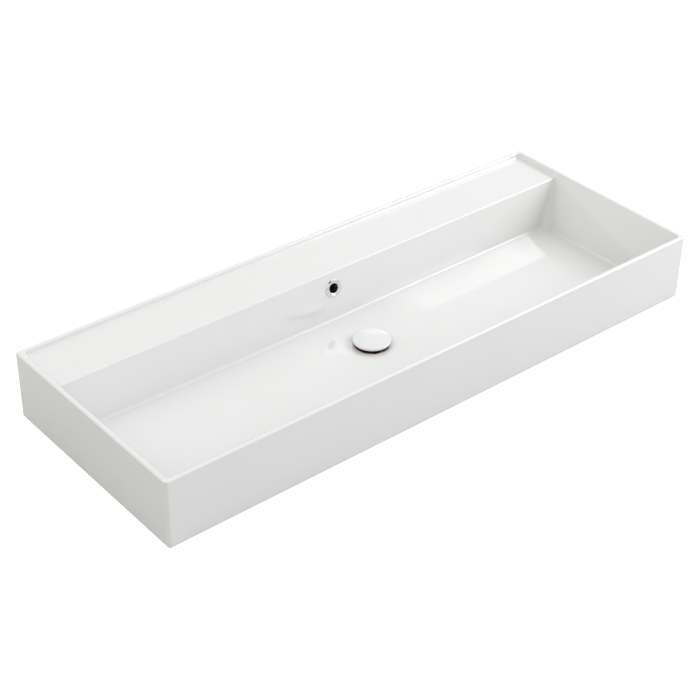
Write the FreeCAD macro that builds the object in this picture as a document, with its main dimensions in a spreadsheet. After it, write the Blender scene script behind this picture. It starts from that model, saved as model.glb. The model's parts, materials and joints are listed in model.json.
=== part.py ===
import FreeCAD, Part
import math
import os

import Sketcher

# A wall-hung ceramic washbasin with a push-to-open waste.
# The frame's origin is the middle of the line of wall bolts, on the wall face.
# X runs to the right, Y into the wall, Z up. Lengths are millimetres.

SIZES = (
    # Outside of the basin
    ("overall_width", 1200.0, "outside, end to end"),
    ("overall_depth", 455.0, "outside, wall to front"),
    ("overall_height", 135.0, "outside, base to rim"),
    ("outer_corner_radius", 6.0, "upright outer corners"),
    ("base_edge_radius", 5.0, "outer edge along the base"),
    ("rim_width", 8.5, "flat top of the rim"),
    ("rim_edge_radius", 3.0, "both edges of the rim"),
    # Inside of the bowl
    ("inner_corner_radius", 7.0, "inner corners at the rim"),
    ("shelf_corner_radius", 0.5, "back corners of the bowl above the deck"),
    ("bowl_corner_radius", 22.0, "inner corners at the floor"),
    ("end_slope_share", 0.43, "inward lean of the end walls"),
    ("side_slope_share", 0.17, "inward lean of the front and back bowl walls"),
    ("upstand_slope_share", 0.05, "inward lean of the upstand behind the deck"),
    ("deck_depth", 119.0, "wall to the front edge of the deck"),
    ("deck_drop", 11.0, "rim to deck"),
    ("deck_fillet_radius", 5.0, "hollow along the foot of the upstand"),
    ("deck_edge_radius", 2.5, "front edge of the deck"),
    ("floor_fillet_radius", 6.0, "hollow along the foot of the bowl walls"),
    ("floor_level", 23.0, "dished floor over the base at the waste"),
    ("dish_radius", 100.0, "reach of the dish around the waste"),
    ("dish_slope_share", 0.055, "fall of the dish"),
    ("dish_blend_reach", 35.0, "how far the softer outer ring of the dish reaches into it"),
    ("floor_slope_share", 0.005, "fall of each half of the floor towards the waste"),
    # Underside of the basin
    ("shell_wall", 9.0, "wall of the bowl, and its floor at the waste"),
    ("skirt_wall", 10.0, "outer walls at the back and the ends"),
    ("front_wall", 22.0, "outer wall at the front"),
    ("deck_wall", 10.0, "thickness of the deck"),
    ("fixing_spacing", 560.0, "between the two wall bolts"),
    ("fixing_height", 85.0, "wall bolts over the base"),
    ("fixing_hole_diameter", 22.0, "holes for the wall bolts"),
    ("fixing_pad_diameter", 60.0, "thickened wall around a bolt"),
    ("fixing_pad_thickness", 8.0, "how far that pad stands inwards"),
    # Overflow passage inside the casting
    ("overflow_height", 90.0, "middle of the overflow hole over the base"),
    ("overflow_hole_diameter", 24.0, "overflow hole"),
    ("riser_top", 106.0, "top of the passage behind the back bowl wall"),
    ("riser_gap", 14.0, "depth of that passage"),
    ("passage_wall", 7.0, "wall around the passage"),
    ("passage_width", 60.0, "width of the passage"),
    ("passage_height", 7.0, "height of the passage under the floor"),
    ("passage_rise", 3.0, "how much its ceiling climbs to the back"),
    ("chamber_diameter", 60.0, "ring space around the waste"),
    # Waste hole
    ("waste_setback", 237.5, "wall to the axis of the waste"),
    ("waste_hole_diameter", 46.0, "hole for the waste"),
    ("seat_diameter", 68.0, "sunk seat of the flange"),
    ("seat_depth", 1.5, "seat below the middle of the dish"),
    ("boss_diameter", 84.0, "thick ring under the floor around the waste"),
    # Waste body
    ("flange_diameter", 64.0, "flange of the waste"),
    ("flange_thickness", 2.0, "flange of the waste"),
    ("flange_edge_bevel", 0.7, "lip of the flange"),
    ("neck_diameter", 45.2, "neck under the flange"),
    ("neck_length", 8.0, "neck under the flange"),
    ("mouth_diameter", 45.0, "conical mouth at the flange"),
    ("mouth_depth", 9.1, "length of the conical mouth"),
    ("tail_diameter", 41.9, "outside of the threaded tail"),
    ("tail_bore", 36.5, "bore of the tail"),
    ("tail_length", 83.0, "flange top to the end of the tail"),
    ("tail_chamfer", 1.0, "lead of the thread"),
    ("relief_drop", 43.5, "flange top to the relief between the nut's thread and the trap's"),
    ("relief_width", 2.0, "that relief along the tail"),
    ("relief_depth", 0.6, "that relief into the tail"),
    ("window_drop", 11.0, "flange top to the overflow windows"),
    ("window_height", 7.0, "overflow windows in the tail"),
    ("window_width", 12.0, "overflow windows in the tail"),
    ("window_count", 6.0, "number of windows"),
    ("hub_drop", 19.0, "flange top to the hub"),
    ("hub_height", 6.0, "hub that carries the mechanism"),
    ("hub_diameter", 23.0, "hub that carries the mechanism"),
    ("arm_width", 3.5, "arms between hub and tail"),
    ("arm_count", 3.0, "number of arms"),
    # Sealing and clamping rings
    ("flange_gasket_diameter", 62.0, "ring under the flange"),
    ("flange_gasket_thickness", 1.5, "ring under the flange"),
    ("lower_gasket_diameter", 62.0, "rubber ring under the basin"),
    ("lower_gasket_thickness", 6.0, "rubber ring under the basin"),
    ("lower_gasket_bevel", 1.5, "its lower edge"),
    ("gasket_collar_height", 2.5, "collar of that ring inside the hole"),
    ("gasket_collar_diameter", 45.4, "foot of that collar"),
    ("gasket_collar_top", 43.4, "top of that collar"),
    ("slip_washer_diameter", 60.0, "washer under the rubber ring"),
    ("slip_washer_thickness", 1.5, "washer under the rubber ring"),
    ("backnut_collar_diameter", 58.0, "collar of the clamping nut"),
    ("backnut_collar_thickness", 2.0, "collar of the clamping nut"),
    ("backnut_flats", 52.0, "hexagon of the clamping nut"),
    ("backnut_height", 10.0, "whole clamping nut"),
    # Plug
    ("plug_lift", 5.5, "travel of the plug from open to fully pressed"),
    ("closed_gap", 0.7, "cap over flange when fully pressed"),
    ("cap_diameter", 72.0, "ceramic cap"),
    ("cap_height", 7.6, "ceramic cap in the middle of its dome"),
    ("cap_lower_radius", 2.5, "lower edge of the cap"),
    ("cap_upper_radius", 2.6, "upper edge of the cap"),
    ("cap_dome_radius", 225.0, "dome of the cap"),
    ("cap_recess_diameter", 54.0, "recess under the cap"),
    ("cap_recess_depth", 2.0, "recess under the cap"),
    ("carrier_diameter", 53.4, "plate that carries the cap"),
    ("carrier_thickness", 2.4, "plate that carries the cap"),
    ("carrier_hub_diameter", 36.4, "hub under that plate"),
    ("carrier_hub_height", 5.6, "hub under that plate"),
    ("carrier_boss_diameter", 12.0, "threaded boss under the hub"),
    ("carrier_boss_height", 5.0, "threaded boss under the hub"),
    ("carrier_bore_depth", 9.5, "thread in the boss"),
    ("seal_section", 3.2, "height of the sealing ring"),
    ("seal_inner_diameter", 34.6, "inside of the sealing ring"),
    ("seal_diameter", 43.0, "lip of the sealing ring"),
    ("seal_drop", 3.3, "plate to the middle of the sealing ring"),
    ("spindle_diameter", 5.0, "threaded stud"),
    ("spindle_chamfer", 0.5, "both ends of the stud"),
    ("lock_nut_flats", 8.0, "small hexagon nut"),
    ("lock_nut_height", 3.0, "small hexagon nut"),
    # Push-push mechanism
    ("barrel_diameter", 16.0, "outside of the barrel"),
    ("barrel_length", 31.0, "barrel under its shoulder"),
    ("barrel_wall", 1.1, "wall of the barrel"),
    ("shoulder_diameter", 21.0, "shoulder on the hub"),
    ("shoulder_thickness", 2.5, "shoulder on the hub"),
    ("barrel_ceiling", 1.5, "roof of the barrel"),
    ("guide_count", 4.0, "guide ribs inside the barrel"),
    ("guide_width", 2.2, "guide ribs inside the barrel"),
    ("guide_depth", 1.0, "guide ribs inside the barrel"),
    ("guide_length", 12.0, "guide ribs inside the barrel"),
    ("stem_diameter", 8.0, "stem of the plunger"),
    ("stem_reach", 8.5, "stem over the shoulder when the plug is open"),
    ("stem_bore_depth", 7.0, "thread in the stem"),
    ("plunger_length", 7.0, "guided part of the plunger"),
    ("wing_width", 2.6, "wings of plunger and rotor"),
    ("notch_count", 8.0, "teeth between plunger and rotor"),
    ("notch_width", 2.4, "gap between two teeth"),
    ("notch_depth", 1.4, "height of the teeth"),
    ("rotor_length", 6.5, "index rotor"),
    ("rotor_bore", 3.4, "bore of the rotor"),
    ("spring_seat_depth", 1.5, "seat of the spring in the rotor"),
    ("spring_wire", 0.8, "spring wire"),
    ("spring_diameter", 8.0, "outside of the spring"),
    ("spring_turns", 5.0, "turns of the spring"),
    ("end_cap_lip", 1.5, "lip of the end cap"),
    ("end_cap_plug", 1.8, "part of the end cap inside the barrel"),
    ("end_cap_hole", 3.0, "drain hole of the end cap"),
    ("barrel_nut_flats", 22.0, "nut on the barrel"),
    ("barrel_nut_height", 3.5, "nut on the barrel"),
    # Overflow ring
    ("ring_diameter", 36.0, "flange of the overflow ring"),
    ("ring_bore", 20.0, "opening of the overflow ring"),
    ("ring_thickness", 2.4, "bead of the overflow ring"),
    ("ring_edge_thickness", 0.9, "outer edge of the overflow ring"),
    ("ring_bead_width", 4.2, "outer bead of the overflow ring"),
    ("ring_step", 1.2, "step down to the inner land"),
    ("ring_bevel", 1.3, "bevel of the outer bead"),
    ("sleeve_diameter", 23.0, "sleeve in the wall"),
    ("sleeve_length", 11.0, "sleeve in the wall"),
    ("sleeve_slot_width", 3.0, "slots that make the sleeve springy"),
    ("sleeve_slot_length", 7.0, "slots that make the sleeve springy"),
    ("sleeve_slot_count", 4.0, "number of slots"),
    # Clearances
    ("slip", 0.1, "radial play of parts that pass through each other"),
    ("rest_gap", 0.2, "play between parts that stop each other"),
    ("end_gap", 0.3, "room beyond the ends of the stud and between the teeth"),
    ("overrun", 6.0, "how far cutting shapes pass the surface they cut"),
)

HEXAGON_SHARE = 1 / math.sqrt(3)
REACH_SHARE = 0.56
RECESS_REACH_SHARE = 1.7
FULL_TURN = 360
QUARTER_TURN = 90
EDGE_FLATS = 2
CUT_CORNER_SHARE = 2 - math.sqrt(2)


class Size:
    """A number, and the sheet formula that gives it."""

    def __init__(self, value, text):
        self.value = value
        self.text = text

    def __add__(self, other):
        other = as_size(other)
        return Size(self.value + other.value, f"({self.text} + {other.text})")

    def __sub__(self, other):
        other = as_size(other)
        return Size(self.value - other.value, f"({self.text} - {other.text})")

    def __mul__(self, other):
        other = as_size(other)
        return Size(self.value * other.value, f"({self.text} * {other.text})")

    def __truediv__(self, other):
        other = as_size(other)
        return Size(self.value / other.value, f"({self.text} / {other.text})")

    def __neg__(self):
        return Size(-self.value, f"(0 - {self.text})")


def as_size(item):
    if isinstance(item, Size):
        return item
    return Size(float(item), f"{float(item):.9f}")


def root(size):
    return Size(math.sqrt(size.value), f"sqrt({size.text})")


ZERO = as_size(0)
ONE = as_size(1)

doc = FreeCAD.newDocument("washbasin")
sheet = doc.addObject("Spreadsheet::Sheet", "sizes")


class S:
    """The sizes of the sheet, by name."""


for row, (name, value, note) in enumerate(SIZES, start=1):
    sheet.set(f"A{row}", name)
    sheet.set(f"B{row}", str(value))
    sheet.set(f"C{row}", note)
    sheet.setAlias(f"B{row}", name)
doc.recompute()
for name, value, note in SIZES:
    setattr(S, name, Size(float(sheet.get(name)), f"sizes.{name}"))

# Levels over the base and places from the wall, in the basin's own frame

deck_level = S.overall_height - S.deck_drop
seat_level = S.floor_level - S.seat_depth
flange_top = seat_level + S.flange_gasket_thickness + S.flange_thickness
hub_level = flange_top - S.hub_drop
barrel_end = hub_level - S.barrel_length
waste_place = -S.waste_setback
above_rim = S.overall_height + S.overrun


def bind(thing, prop, size):
    thing.setExpression(prop, size.text)


def place(thing, x, y, z, turn=None):
    """Puts a finished piece at a place over the base."""
    z = z - S.fixing_height
    where = FreeCAD.Vector(x.value, y.value, z.value)
    thing.Placement = FreeCAD.Placement(where, turn or FreeCAD.Rotation())
    for axis, size in (("x", x), ("y", y), ("z", z)):
        if size is not ZERO:
            bind(thing, f".Placement.Base.{axis}", size)


# Sketching


def fix_point(sketch, geometry, end, x, y):
    """Ties one end of a line or arc to its place from the sketch's origin."""
    for kind, size, axis in (("DistanceX", x, -2), ("DistanceY", y, -1)):
        if size is ZERO:
            sketch.addConstraint(Sketcher.Constraint("PointOnObject", geometry, end, axis))
        elif size.value < 0:
            rule = Sketcher.Constraint(kind, geometry, end, -1, 1, -size.value)
            bind(sketch, f"Constraints[{sketch.addConstraint(rule)}]", -size)
        else:
            rule = Sketcher.Constraint(kind, -1, 1, geometry, end, size.value)
            bind(sketch, f"Constraints[{sketch.addConstraint(rule)}]", size)


def arc_between(start, stop, radius, side):
    """An arc of less than half a turn; side 1 keeps its centre on the left of the way."""
    chord = stop - start
    right = FreeCAD.Vector(chord.y, -chord.x, 0)
    right.normalize()
    reach = math.sqrt(max(radius**2 - (chord.Length / 2) ** 2, 0))
    centre = (start + stop) * 0.5 - right * (reach * side)
    first, last = (start, stop) if side > 0 else (stop, start)
    angles = [math.atan2(point.y - centre.y, point.x - centre.x) for point in (first, last)]
    circle = Part.Circle(centre, FreeCAD.Vector(0, 0, 1), radius)
    return Part.ArcOfCircle(circle, angles[0], angles[1])


def draw_outline(sketch, corners):
    """A closed outline of (x, y) corners; (x, y, radius, side) starts an arc."""
    count = len(corners)
    points = [FreeCAD.Vector(corner[0].value, corner[1].value, 0) for corner in corners]
    pieces = []
    for index, corner in enumerate(corners):
        start = points[index]
        stop = points[(index + 1) % count]
        if len(corner) == 2:
            geometry = sketch.addGeometry(Part.LineSegment(start, stop), False)
            pieces.append((geometry, 1, 2))
        else:
            radius, side = corner[2:]
            arc = arc_between(start, stop, radius.value, side)
            geometry = sketch.addGeometry(arc, False)
            rule = Sketcher.Constraint("Radius", geometry, radius.value)
            bind(sketch, f"Constraints[{sketch.addConstraint(rule)}]", radius)
            pieces.append((geometry, 1, 2) if side > 0 else (geometry, 2, 1))
    for index, (geometry, first, last) in enumerate(pieces):
        other, other_first, other_last = pieces[(index + 1) % count]
        joint = Sketcher.Constraint("Coincident", geometry, last, other, other_first)
        sketch.addConstraint(joint)
    for corner, (geometry, first, last) in zip(corners, pieces):
        fix_point(sketch, geometry, first, corner[0], corner[1])


def draw_circle(sketch, x, y, radius):
    centre = FreeCAD.Vector(x.value, y.value, 0)
    circle = Part.Circle(centre, FreeCAD.Vector(0, 0, 1), radius.value)
    geometry = sketch.addGeometry(circle, False)
    rule = Sketcher.Constraint("Radius", geometry, radius.value)
    bind(sketch, f"Constraints[{sketch.addConstraint(rule)}]", radius)
    fix_point(sketch, geometry, 3, x, y)


def rectangle(left, right, low, high):
    return [(left, low), (right, low), (right, high), (left, high)]


def rounded_rectangle(left, right, front, back, front_radius, back_radius):
    """Corners from the front left, the way round against the clock."""
    f = front_radius
    b = back_radius
    return [
        (left, front + f, f, 1),
        (left + f, front),
        (right - f, front, f, 1),
        (right, front + f),
        (right, back - b, b, 1),
        (right - b, back),
        (left + b, back, b, 1),
        (left, back - b),
    ]


def square_front_rectangle(left, right, front, back, back_radius):
    """Corners from the front left; only the back ones are rounded."""
    b = back_radius
    return [
        (left, front),
        (right, front),
        (right, back - b, b, 1),
        (right - b, back),
        (left + b, back, b, 1),
        (left, back - b),
    ]


def hexagon(flats):
    side = flats / 2
    half = flats * (HEXAGON_SHARE / 2)
    tip = flats * HEXAGON_SHARE
    return [(side, -half), (side, half), (ZERO, tip), (-side, half), (-side, -half), (ZERO, -tip)]


# Shapes of the basin


def loose_sketch(name, corners, level=None, plane="level"):
    """A sketch of its own: level at a height, or upright facing X or Y."""
    sketch = doc.addObject("Sketcher::SketchObject", name)
    turns = {
        "level": FreeCAD.Rotation(),
        "facing_x": FreeCAD.Rotation(FreeCAD.Vector(1, 1, 1), FULL_TURN / 3),
        "facing_y": FreeCAD.Rotation(FreeCAD.Vector(1, 0, 0), QUARTER_TURN),
    }
    height = level.value if level else 0
    sketch.Placement = FreeCAD.Placement(FreeCAD.Vector(0, 0, height), turns[plane])
    if level:
        bind(sketch, ".Placement.Base.z", level)
    draw_outline(sketch, corners)
    return sketch


def extrude(name, sketch, length, both_ways=False):
    shape = doc.addObject("Part::Extrusion", name)
    shape.Base = sketch
    shape.DirMode = "Normal"
    shape.Solid = True
    shape.Symmetric = both_ways
    shape.LengthFwd = length.value
    bind(shape, "LengthFwd", length)
    return shape


def loft(name, sketches):
    shape = doc.addObject("Part::Loft", name)
    shape.Sections = sketches
    shape.Solid = True
    shape.Ruled = True
    return shape


def cylinder(name, diameter, length, x, y, z, lying=False):
    shape = doc.addObject("Part::Cylinder", name)
    bind(shape, "Radius", diameter / 2)
    bind(shape, "Height", length)
    turn = FreeCAD.Rotation(FreeCAD.Vector(1, 0, 0), QUARTER_TURN if lying else 0)
    shape.Placement = FreeCAD.Placement(FreeCAD.Vector(), turn)
    for axis, size in (("x", x), ("y", y), ("z", z)):
        bind(shape, f".Placement.Base.{axis}", size)
    return shape


def combine(kind, name, shapes):
    shape = doc.addObject(f"Part::{kind}", name)
    shape.Shapes = shapes
    return shape


def subtract(name, base, tool):
    shape = doc.addObject("Part::Cut", name)
    shape.Base = base
    shape.Tool = tool
    shape.Refine = True
    return shape


def round_edges(name, base, groups):
    """Rounds edges; each group is a radius and a test on the middle of an edge."""
    doc.recompute()
    chosen = []
    for index, edge in enumerate(base.Shape.Edges, start=1):
        middle = edge.valueAt((edge.FirstParameter + edge.LastParameter) / 2)
        for radius, wanted in groups:
            if wanted(edge, middle):
                chosen.append((index, radius.value, radius.value))
                break
    shape = doc.addObject("Part::Fillet", name)
    shape.Base = base
    shape.Edges = chosen
    doc.recompute()
    return shape


def level_at(edge, level):
    """True where an edge lies level at a height."""
    box = edge.BoundBox
    near = S.slip.value
    return abs(box.ZMin - level.value) < near and abs(box.ZMax - level.value) < near


def end_place(level):
    lean = S.end_slope_share * (S.overall_height - level)
    return S.overall_width / 2 - S.rim_width - lean


def front_place(level):
    return S.rim_width - S.overall_depth + S.side_slope_share * (S.overall_height - level)


def back_place(level):
    return -S.deck_depth - S.side_slope_share * (deck_level - level)


def upstand_place(level):
    return -S.rim_width - S.upstand_slope_share * (S.overall_height - level)


def bowl_outline(name, level, front_radius, back_radius, wall):
    """The bowl's outline at a level; made larger by a wall, its corners are cut straight."""
    end = end_place(level) + wall
    front = front_place(level) - wall
    back = back_place(level) + wall
    if wall is ZERO:
        corners = rounded_rectangle(-end, end, front, back, front_radius, back_radius)
    else:
        radii = [(radius + wall) * CUT_CORNER_SHARE for radius in (front_radius, back_radius)]
        rounded = rounded_rectangle(-end, end, front, back, *radii)
        corners = [corner[:2] for corner in rounded]
    return loose_sketch(name, corners, level)


def bowl_loft(name, low, wall):
    upper = bowl_outline(
        f"{name}_top", above_rim, S.inner_corner_radius, S.shelf_corner_radius, wall
    )
    lower = bowl_outline(
        f"{name}_foot", low, S.bowl_corner_radius, S.bowl_corner_radius, wall
    )
    return loft(name, [lower, upper])


def space_over_floor():
    """All that lies over the floor: two gently falling halves, sunk to a dish at the waste."""
    middle = S.floor_level
    top = above_rim + S.overrun
    reach = S.overall_width * REACH_SHARE
    ridge = middle + S.dish_slope_share * S.dish_radius
    edge = ridge + S.floor_slope_share * reach
    corners = [(ZERO, ridge), (reach, edge), (reach, top), (-reach, top), (-reach, edge)]
    profile = loose_sketch("floor_profile", corners, plane="facing_y")
    halves = extrude("over_halves", profile, (S.overall_depth + S.overrun) * 2, True)

    near = S.dish_radius - S.dish_blend_reach
    far = S.dish_radius + S.dish_blend_reach * 2
    soft_share = (S.dish_slope_share + S.floor_slope_share) / 2
    near_level = middle + S.dish_slope_share * near
    corners = [
        (ZERO, middle),
        (near, near_level),
        (far, near_level + soft_share * (far - near)),
        (far, top),
        (ZERO, top),
    ]
    profile = loose_sketch("dish_profile", corners, plane="facing_y")
    bind(profile, ".Placement.Base.y", waste_place)
    dish = doc.addObject("Part::Revolution", "over_dish")
    dish.Source = profile
    dish.Axis = FreeCAD.Vector(0, 0, 1)
    dish.Base = FreeCAD.Vector(0, waste_place.value, 0)
    bind(dish, ".Base.y", waste_place)
    dish.Angle = FULL_TURN
    dish.Solid = True
    return combine("MultiFuse", "over_floor", [halves, dish])


def make_block():
    half = S.overall_width / 2
    radius = S.outer_corner_radius
    corners = rounded_rectangle(-half, half, -S.overall_depth, ZERO, radius, radius)
    block = extrude("block", loose_sketch("block_outline", corners, ZERO), S.overall_height)
    groups = (
        (S.rim_edge_radius, lambda edge, middle: level_at(edge, S.overall_height)),
        (S.base_edge_radius, lambda edge, middle: level_at(edge, ZERO)),
    )
    return round_edges("rounded_block", block, groups)


def make_bowl_space():
    walls = bowl_loft("bowl_walls", S.floor_level - S.overrun, ZERO)
    space = combine("MultiCommon", "bowl_space", [walls, space_over_floor()])
    reach = S.floor_fillet_radius.value
    top = (S.floor_level + S.floor_fillet_radius + S.overrun).value

    def at_wall(edge, middle):
        if edge.BoundBox.ZMax > top:
            return False
        level = as_size(middle.z)
        return (
            abs(middle.x) > end_place(level).value - reach
            or middle.y > back_place(level).value - S.slip.value
            or middle.y < front_place(level).value + S.slip.value
        )

    return round_edges("rounded_bowl_space", space, ((S.floor_fillet_radius, at_wall),))


def make_recess():
    """The sunk deck, carried forward into the bowl."""
    front = back_place(deck_level) * RECESS_REACH_SHARE
    outlines = []
    for name, level in (("recess_foot", deck_level), ("recess_top", above_rim)):
        end = end_place(level)
        corners = square_front_rectangle(
            -end, end, front, upstand_place(level), S.inner_corner_radius
        )
        outlines.append(loose_sketch(name, corners, level))
    recess = loft("recess", outlines)

    def at_foot(edge, middle):
        return level_at(edge, deck_level) and middle.y > front.value + S.slip.value

    return round_edges("rounded_recess", recess, ((S.deck_fillet_radius, at_foot),))


def make_deck_edge():
    """What the round front edge of the deck leaves out of a sharp one."""
    share = S.side_slope_share
    slant = root(ONE + share * share)
    reach = S.deck_edge_radius * (slant - share)
    edge = back_place(deck_level)
    foot_y = edge - reach * share / slant
    foot_z = deck_level - reach / slant
    ahead = foot_y - S.overrun
    above = deck_level + S.overrun
    corners = [
        (foot_y, foot_z, S.deck_edge_radius, -1),
        (edge + reach, deck_level),
        (edge + reach, above),
        (ahead, above),
        (ahead, foot_z),
    ]
    profile = loose_sketch("deck_edge_profile", corners, plane="facing_x")
    flat = end_place(deck_level) - S.deck_fillet_radius
    return extrude("deck_edge", profile, flat * 2, True)


def behind_shell(level, distance):
    return back_place(level) + S.shell_wall + distance


def passage(name, wall):
    """The overflow passage: an upright part behind the bowl and a level part under its floor."""
    low = S.passage_wall - wall
    high = S.riser_top + wall
    under = S.passage_wall + S.passage_height
    bend = under + S.passage_rise + wall / 2
    sunk = wall / 2
    corners = [
        (waste_place, low),
        (behind_shell(low, S.riser_gap + wall), low),
        (behind_shell(high, S.riser_gap + wall), high),
        (behind_shell(high, -sunk), high),
        (behind_shell(bend, -sunk), bend),
        (waste_place, under + sunk),
    ]
    profile = loose_sketch(f"{name}_profile", corners, plane="facing_x")
    return extrude(name, profile, S.passage_width + wall * 2, True)


def make_kept_shapes():
    """Everything that stays inside the hollow underside."""
    kept = [bowl_loft("shell", S.floor_level - S.shell_wall, S.shell_wall)]
    kept.append(passage("passage_walls", S.passage_wall))
    kept.append(cylinder("boss", S.boss_diameter, S.floor_level, ZERO, waste_place, ZERO))
    inner_face = -S.skirt_wall / 2
    length = S.skirt_wall / 2 + S.fixing_pad_thickness
    for name, side in (("left", -1), ("right", 1)):
        x = S.fixing_spacing / 2 * side
        kept.append(
            cylinder(
                f"{name}_pad", S.fixing_pad_diameter, length, x, inner_face, S.fixing_height, True
            )
        )
    return combine("MultiFuse", "kept", kept)


def make_hollow():
    half = S.overall_width / 2 - S.skirt_wall
    front = S.front_wall - S.overall_depth
    radius = S.outer_corner_radius
    corners = rounded_rectangle(-half, half, front, -S.skirt_wall, radius, radius)
    outline = loose_sketch("hollow_outline", corners, -S.overrun)
    inside = extrude("hollow_block", outline, deck_level - S.deck_wall + S.overrun)
    return subtract("hollow", inside, make_kept_shapes())


def make_holes():
    below = -S.overrun
    holes = []
    length = S.floor_level + S.overrun * 2
    holes.append(
        cylinder("waste_hole", S.waste_hole_diameter, length, ZERO, waste_place, below)
    )
    holes.append(
        cylinder("seat", S.seat_diameter, S.overrun * 2, ZERO, waste_place, seat_level)
    )
    holes.append(
        cylinder(
            "chamber", S.chamber_diameter, S.passage_height, ZERO, waste_place, S.passage_wall
        )
    )
    through = S.skirt_wall + S.fixing_pad_thickness + S.overrun * 2
    for name, side in (("left", -1), ("right", 1)):
        x = S.fixing_spacing / 2 * side
        holes.append(
            cylinder(
                f"{name}_bolt_hole",
                S.fixing_hole_diameter,
                through,
                x,
                S.overrun,
                S.fixing_height,
                True,
            )
        )
    depth = S.shell_wall + S.riser_gap / 2
    overflow = cylinder(
        "overflow_hole",
        S.overflow_hole_diameter,
        depth + S.overrun,
        ZERO,
        back_place(S.overflow_height) + depth,
        S.overflow_height - S.side_slope_share * depth,
        True,
    )
    overflow.setExpression(".Placement.Rotation.Angle", f"90 deg - atan({S.side_slope_share.text})")
    holes.append(overflow)
    return holes


def make_basin():
    """One casting: rim, sunk deck, bowl, dished floor, overflow passage and hollow underside."""
    block = make_block()
    tools = [make_bowl_space(), make_recess(), make_deck_edge(), make_hollow()]
    tools.append(passage("passage_space", ZERO))
    tools.extend(make_holes())
    cast = subtract("casting", block, combine("MultiFuse", "openings", tools))
    outside = S.rim_width.value - S.rim_edge_radius.value / 2
    half = S.overall_width.value / 2
    depth = S.overall_depth.value

    def inner_rim(edge, middle):
        inside = min(half - abs(middle.x), -middle.y, depth + middle.y)
        return level_at(edge, S.overall_height) and inside > outside

    basin = round_edges("basin", cast, ((S.rim_edge_radius, inner_rim),))
    place(basin, ZERO, ZERO, ZERO)
    return basin


# Shapes of the fittings


def origin_part(body, role):
    for feature in body.Origin.OriginFeatures:
        if feature.Role == role:
            return feature
    raise LookupError(role)


def attach(body, name, role, level=None):
    sketch = body.newObject("Sketcher::SketchObject", name)
    sketch.AttachmentSupport = (origin_part(body, role), [""])
    sketch.MapMode = "FlatFace"
    if level:
        sketch.AttachmentOffset = FreeCAD.Placement(
            FreeCAD.Vector(0, 0, level.value), FreeCAD.Rotation()
        )
        bind(sketch, ".AttachmentOffset.Base.z", level)
    return sketch


def turn(name, corners):
    """A new body: an outline of (radius, height) corners turned about the body's Z axis."""
    body = doc.addObject("PartDesign::Body", name)
    sketch = attach(body, f"{name}_profile", "XZ_Plane")
    draw_outline(sketch, corners)
    revolution = body.newObject("PartDesign::Revolution", f"{name}_turned")
    revolution.Profile = sketch
    revolution.ReferenceAxis = (sketch, ["V_Axis"])
    revolution.Angle = FULL_TURN
    return body


def pad(body, name, corners, low, length):
    sketch = attach(body, f"{name}_outline", "XY_Plane", low)
    draw_outline(sketch, corners)
    feature = body.newObject("PartDesign::Pad", name)
    feature.Profile = sketch
    feature.Length = length.value
    bind(feature, "Length", length)
    return feature


def bore(body, name, radius, high, depth):
    """A round hole downwards from a height."""
    sketch = attach(body, f"{name}_outline", "XY_Plane", high)
    draw_circle(sketch, ZERO, ZERO, radius)
    feature = body.newObject("PartDesign::Pocket", name)
    feature.Profile = sketch
    feature.Length = depth.value
    bind(feature, "Length", depth)
    return feature


def side_cut(body, name, corners, length):
    """A cut sideways from the axis outwards; corners are (across, height)."""
    sketch = attach(body, f"{name}_outline", "XZ_Plane")
    draw_outline(sketch, corners)
    feature = body.newObject("PartDesign::Pocket", name)
    feature.Profile = sketch
    feature.Length = length.value
    bind(feature, "Length", length)
    return feature


def repeat(body, feature, count):
    """Repeats a feature evenly about the body's Z axis."""
    pattern = body.newObject("PartDesign::PolarPattern", f"{feature.Name}_pattern")
    pattern.Originals = [feature]
    pattern.Axis = (origin_part(body, "Z_Axis"), [""])
    pattern.Angle = FULL_TURN
    pattern.Occurrences = int(count.value)
    bind(pattern, "Occurrences", count)
    body.Tip = pattern
    return pattern


def ring(name, inner, outer, low, high):
    return turn(name, rectangle(inner, outer, low, high))


def spoke(width, inner, outer):
    return rectangle(inner, outer, -width / 2, width / 2)


def make_overflow_ring():
    outer = S.ring_diameter / 2
    hole = S.ring_bore / 2
    sleeve = S.sleeve_diameter / 2
    bead = outer - S.ring_bead_width
    land = S.ring_thickness - S.ring_step
    corners = [
        (hole, -S.sleeve_length),
        (sleeve, -S.sleeve_length),
        (sleeve, ZERO),
        (outer, ZERO),
        (outer, S.ring_edge_thickness),
        (outer - S.ring_bevel, S.ring_thickness),
        (bead, S.ring_thickness),
        (bead, land),
        (hole + S.ring_bevel, land),
        (hole, land - S.ring_bevel / 2),
    ]
    body = turn("overflow_ring", corners)
    half = S.sleeve_slot_width / 2
    low = -S.sleeve_length - S.slip
    slot = side_cut(
        body, "sleeve_slot", rectangle(-half, half, low, low + S.sleeve_slot_length), sleeve + S.slip
    )
    repeat(body, slot, S.sleeve_slot_count)
    lying = FreeCAD.Rotation(FreeCAD.Vector(1, 0, 0), QUARTER_TURN)
    place(body, ZERO, back_place(S.overflow_height), S.overflow_height, lying)
    body.setExpression(".Placement.Rotation.Angle", f"90 deg - atan({S.side_slope_share.text})")
    return body


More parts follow.
